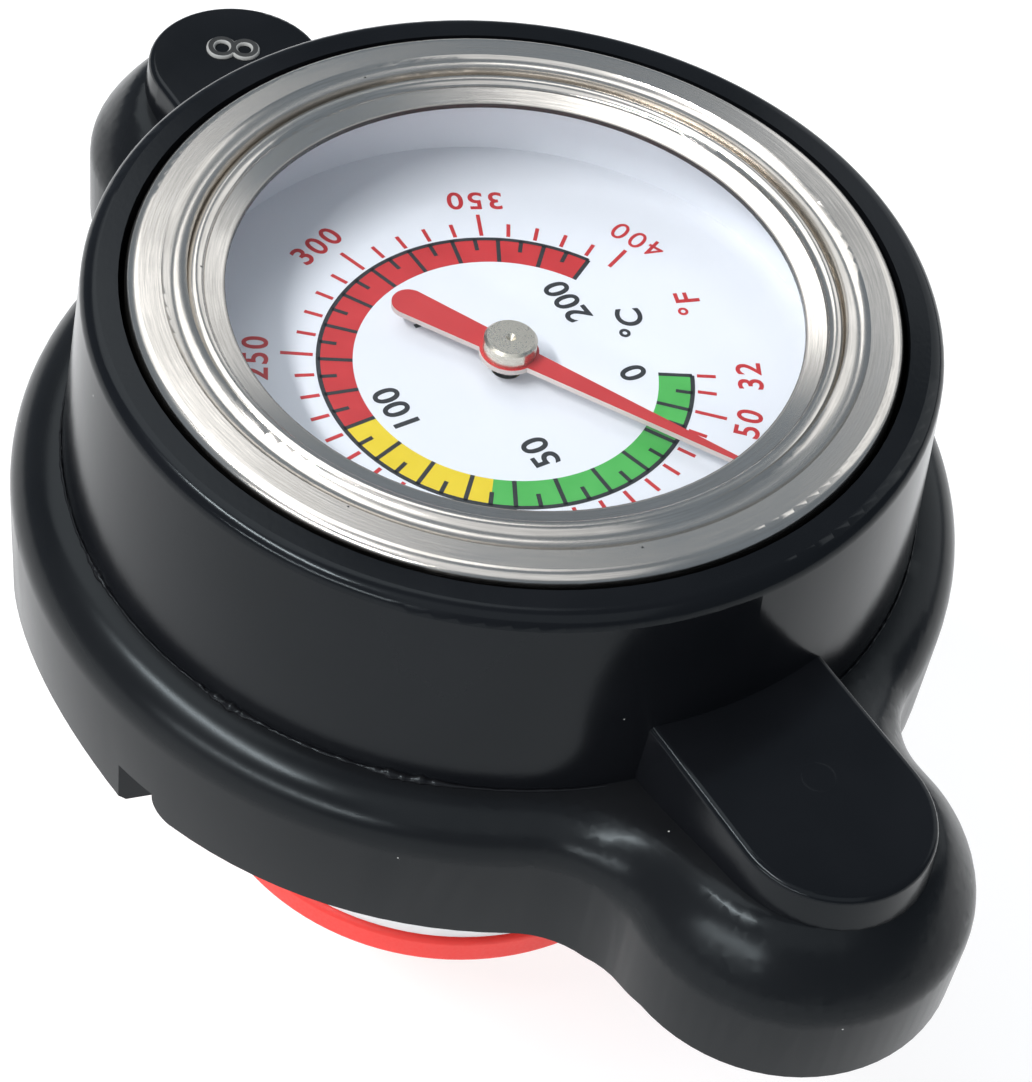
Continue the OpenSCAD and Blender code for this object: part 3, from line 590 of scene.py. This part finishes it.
# Cage and main spring: a drawn steel tube, and round it a spring wound from hard wire with closed end turns.
# The real spring shortens towards its upper seat when the valve lifts; here it is drawn at rest.

def wire_outline(radius, wire, low, sides):
    """A round wire's section that stands on a height."""
    turns = [math.tau * k / sides for k in range(sides)]
    return [(radius + wire / 2 * math.cos(a), low + wire / 2 + wire / 2 * math.sin(a)) for a in turns]


spring_steel = turned_metal(
    "spring_steel", dark=(0.36, 0.36, 0.36), light=(0.52, 0.52, 0.51),
    rough=(0.28, 0.42), line=0.1 * mm, stretch=0.5 * mm, depth=0.002 * mm)
dress("spring_cage", valve_steel)
seat_gap, spring_steps = 0.05 * mm, 64
spring_top, plate_high, lift = 1.7 * mm, -19.3 * mm, 5 * mm
main_r, main_wire, main_end, main_turns, main_sides = 10.1 * mm, 1.6 * mm, 2.1 * mm, 4.5, 14
main_rise = spring_top - plate_high - main_wire - 2 * seat_gap
main_outline = wire_outline(main_r, main_wire, plate_high + seat_gap, main_sides)
main_spans = [(1, main_end), (main_turns, main_rise - 2 * main_end), (1, main_end)]
main = wound("main_spring", main_outline, main_spans, spring_steel, "cap", spring_steps)
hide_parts("pressure_spring")
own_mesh(main)


# Pressure valve: a pressed plate of pale zinc-plated steel on a moulded seal of red silicone.
# A brass eyelet through their middle holds them together.

plate_zinc = plain_finish(
    "plate_zinc", dark=(0.70, 0.71, 0.71), light=(0.80, 0.80, 0.79),
    rough=(0.3, 0.45), patch=4 * mm, grain=0.15 * mm, depth=0.003 * mm)
red_silicone = plain_finish(
    "red_silicone", dark=(0.78, 0.022, 0.014), light=(0.84, 0.03, 0.02),
    rough=(0.4, 0.55), patch=5 * mm, grain=0.2 * mm, depth=0.004 * mm)
dress("pressure_plate", plate_zinc)
dress("pressure_seal", red_silicone)
dress("valve_eyelet", brass)


# Vacuum valve: a turned brass poppet round the probe, with a rubber seal and a steel washer.
# A weak spring wound from thin wire holds it shut against the pressure valve.

dress("vacuum_poppet", brass)
dress("vacuum_seal", black_rubber)
dress("vacuum_washer", valve_steel)
seal_low, weak_h, drop = -22.2 * mm, 6.8 * mm, 1.5 * mm
weak_r, weak_wire, weak_end, weak_turns, weak_sides = 4.35 * mm, 0.6 * mm, 1.1 * mm, 3.5, 10
weak_rise = weak_h - weak_wire - 2 * seat_gap
weak_outline = wire_outline(weak_r, weak_wire, seal_low + seat_gap, weak_sides)
weak_spans = [(1, weak_end), (weak_turns, weak_rise - 2 * weak_end), (1, weak_end)]
weak = wound("weak_spring", weak_outline, weak_spans, spring_steel, "pressure_valve", spring_steps)
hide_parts("vacuum_spring")
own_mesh(weak)


# Studio: a pale floor under the probe's tip that glows a little, flat soft lamps round the object and a dim
# cool sky. The camera stands at the photo's angle.

floor_half, floor_gap, floor_grey, floor_glow = 1.5, 0.2 * mm, (0.35, 0.35, 0.35), 0.74
under_tip = Matrix.Translation((0, 0, cad_box[0].z - floor_gap))
floor_bm = bmesh.new()
bmesh.ops.create_grid(floor_bm, x_segments=1, y_segments=1, size=floor_half, matrix=under_tip)
floor_mesh = bpy.data.meshes.new("floor")
floor_bm.to_mesh(floor_mesh)
floor_bm.free()
glow = {"Roughness": 0.8, "Emission Color": (1, 1, 1, 1), "Emission Strength": floor_glow}
floor_mesh.materials.append(new_finish("floor_white", floor_grey, glow)[0])
floor = bpy.data.objects.new("floor", floor_mesh)
bpy.context.scene.collection.objects.link(floor)


def facing_light(name, turn, rise, size, power):
    """A flat lamp that faces the object, by its angle round the axis and above the floor."""
    distance = 0.65
    turn, rise = math.radians(turn), math.radians(rise)
    way = Vector((math.cos(turn) * math.cos(rise), math.sin(turn) * math.cos(rise), math.sin(rise)))
    place = way * distance
    lamp = bpy.data.lights.new(name, "AREA")
    lamp.shape, lamp.energy = "RECTANGLE", power
    lamp.size, lamp.size_y = size
    obj = bpy.data.objects.new(name, lamp)
    obj.location = place
    obj.rotation_euler = (-place).to_track_quat("-Z", "Y").to_euler()
    bpy.context.scene.collection.objects.link(obj)


facing_light("key", turn=181, rise=58, size=(0.45, 0.45), power=1.4)
facing_light("window", turn=-101, rise=54, size=(0.4, 0.04), power=3.7)
facing_light("low_strip", turn=-72, rise=19, size=(0.5, 0.02), power=1.6)
facing_light("panel", turn=104, rise=26, size=(0.6, 0.45), power=0.9)
facing_light("fill", turn=-25, rise=52, size=(0.6, 0.6), power=0.8)
world = bpy.data.worlds.new("studio")
world.use_nodes = True
sky = world.node_tree.nodes["Background"].inputs
sky["Color"].default_value = (0.78, 0.93, 1.1, 1)
sky["Strength"].default_value = 0.27
bpy.context.scene.world = world
bpy.context.scene.view_settings.view_transform = "Standard"

view_az, view_el, view_roll = (math.radians(a) for a in (51.096, 48.139, 9.854))
sight = (math.sin(view_az) * math.cos(view_el), -math.cos(view_az) * math.cos(view_el), math.sin(view_el))
back = Vector(sight)
level = Vector((math.cos(view_az), math.sin(view_az), 0))
upright = back.cross(level)
right = level * math.cos(view_roll) + upright * math.sin(view_roll)
up = back.cross(right)
aim_z, distance, shift_right, shift_down = 12.222, 130.811, 0.159, 10.356
camera = bpy.data.cameras.new("camera")
camera.lens, camera.sensor_width, camera.clip_start = 89.56, 36, 0.01
shot = bpy.data.objects.new("camera", camera)
shot.matrix_world = Matrix((right, up, back)).transposed().to_4x4()
shot.location = (
    Vector((0, 0, aim_z * mm)) + back * distance * mm + right * shift_right * mm - up * shift_down * mm)
bpy.context.scene.collection.objects.link(shot)
bpy.context.scene.camera = shot
